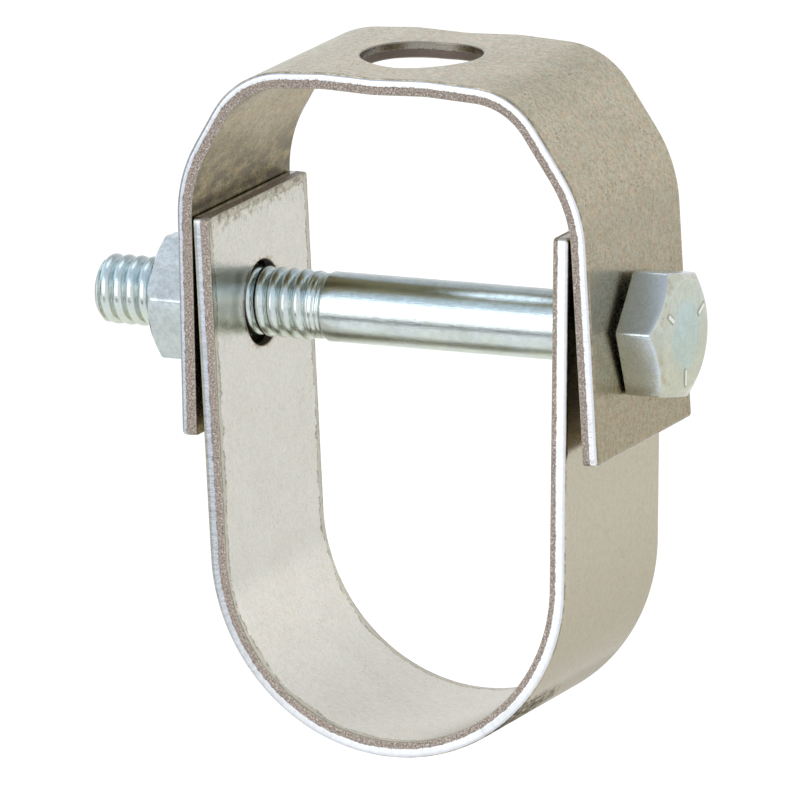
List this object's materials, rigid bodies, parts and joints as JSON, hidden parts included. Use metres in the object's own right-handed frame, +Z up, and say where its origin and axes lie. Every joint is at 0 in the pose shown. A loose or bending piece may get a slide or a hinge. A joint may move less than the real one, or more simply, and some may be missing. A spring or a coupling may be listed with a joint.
{
  "type": "clevis pipe hanger",
  "caption": "Bent strap clevis hanger: a yoke with a rod hole carries a U-shaped pipe cradle on a hex bolt and nut.",
  "frame": {"origin": "centre of the rod hole, on the underside of the yoke's top, where the rod's lower nut seats", "axes": "+Z up the hanger rod, +X along the clevis bolt towards its head, Y across the straps along the pipe"},
  "size_m": [0.0571, 0.021, 0.0625],
  "materials": {
    "yoke_steel": "zinc plated strip, satin, faint speckle, bright rolled edges and duller sheared edges",
    "cradle_steel": "zinc plated strip, satin, faint speckle, bright rolled edges and duller sheared edges",
    "bolt_zinc": "bright zinc with a blue and straw tint, drawn shank and rolled thread",
    "nut_zinc": "dull pale blue zinc, tumbled corners"
  },
  "bodies": {
    "yoke": {"yoke": "yoke_steel"},
    "cradle": {"cradle": "cradle_steel"},
    "bolt": {"bolt": "bolt_zinc"},
    "nut": {"nut": "nut_zinc"}
  },
  "joints": [
    {"name": "cradle_pivot", "type": "hinge", "parent": "yoke", "child": "cradle", "pos_m": [0, 0, -0.02225], "axis": [1, 0, 0], "range_deg": [-6, 6]},
    {"name": "bolt_spin", "type": "hinge", "parent": "yoke", "child": "bolt", "pos_m": [0, 0, -0.02225], "axis": [1, 0, 0], "range_deg": [0, 2880]},
    {"name": "nut_travel", "type": "slide", "parent": "yoke", "child": "nut", "axis": [-1, 0, 0], "range_m": [0, 0.01016]}
  ],
  "couplings": [
    {"joint": "nut_travel", "follows": "bolt_spin", "m_per_rad": 0.0002021}
  ]
}
